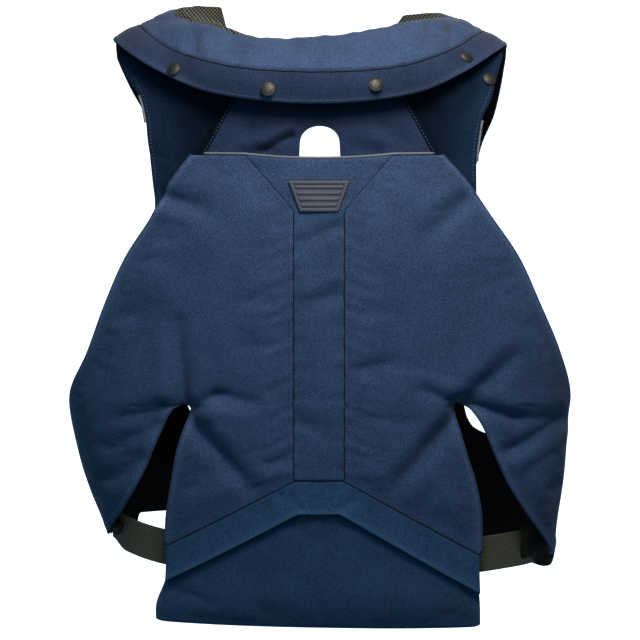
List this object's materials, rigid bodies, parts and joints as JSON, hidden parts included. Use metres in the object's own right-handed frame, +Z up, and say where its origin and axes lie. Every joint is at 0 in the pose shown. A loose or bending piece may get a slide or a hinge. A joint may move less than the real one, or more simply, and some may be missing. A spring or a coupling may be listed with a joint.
{
  "type": "airbag vest",
  "caption": "Sleeveless padded airbag vest in its worn form, with a rolled collar, a spine panel, side slits with elastic webbing and a padded tail, for a rider's torso.",
  "frame": {"origin": "where the vest sits on the wearer: midway between the shoulders, at the height of the underside of the shoulder straps", "axes": "+Z up, +Y the way the wearer faces, +X to the wearer's right"},
  "size_m": [0.5348, 0.243, 0.6453],
  "materials": {
    "navy_cloth": "plain-woven nylon, navy, slightly sheened",
    "black_lining": "black knitted lining, matte",
    "black_mesh": "black spacer mesh with small round holes",
    "black_zip": "moulded zip teeth on black woven tape",
    "webbing": "ribbed elastic webbing, olive black",
    "grey_piping": "light grey reflective piping",
    "gunmetal": "dark plated press stud caps",
    "rubber": "moulded grey rubber, matte"
  },
  "bodies": {
    "root": {"back_panel_left": "navy_cloth", "back_panel_right": "navy_cloth", "spine_panel": "navy_cloth", "waist_band": "navy_cloth", "tail_panel": "navy_cloth", "yoke_panel": "navy_cloth", "shoulder_panel_left": "navy_cloth", "shoulder_panel_right": "navy_cloth", "front_panel_left": "navy_cloth", "front_panel_right": "navy_cloth", "front_lining_left": "black_lining", "front_lining_right": "black_lining", "front_zip": "black_zip", "collar_roll": "navy_cloth", "collar_band": "navy_cloth", "collar_lining": "black_mesh", "collar_snap_1": "gunmetal", "collar_snap_2": "gunmetal", "collar_snap_3": "gunmetal", "collar_snap_4": "gunmetal", "shoulder_snap": "gunmetal", "back_piping": "grey_piping", "shoulder_piping_left": "grey_piping", "shoulder_piping_right": "grey_piping", "badge": "rubber", "side_strap_left": "webbing", "side_strap_right": "webbing"}
  },
  "joints": []
}
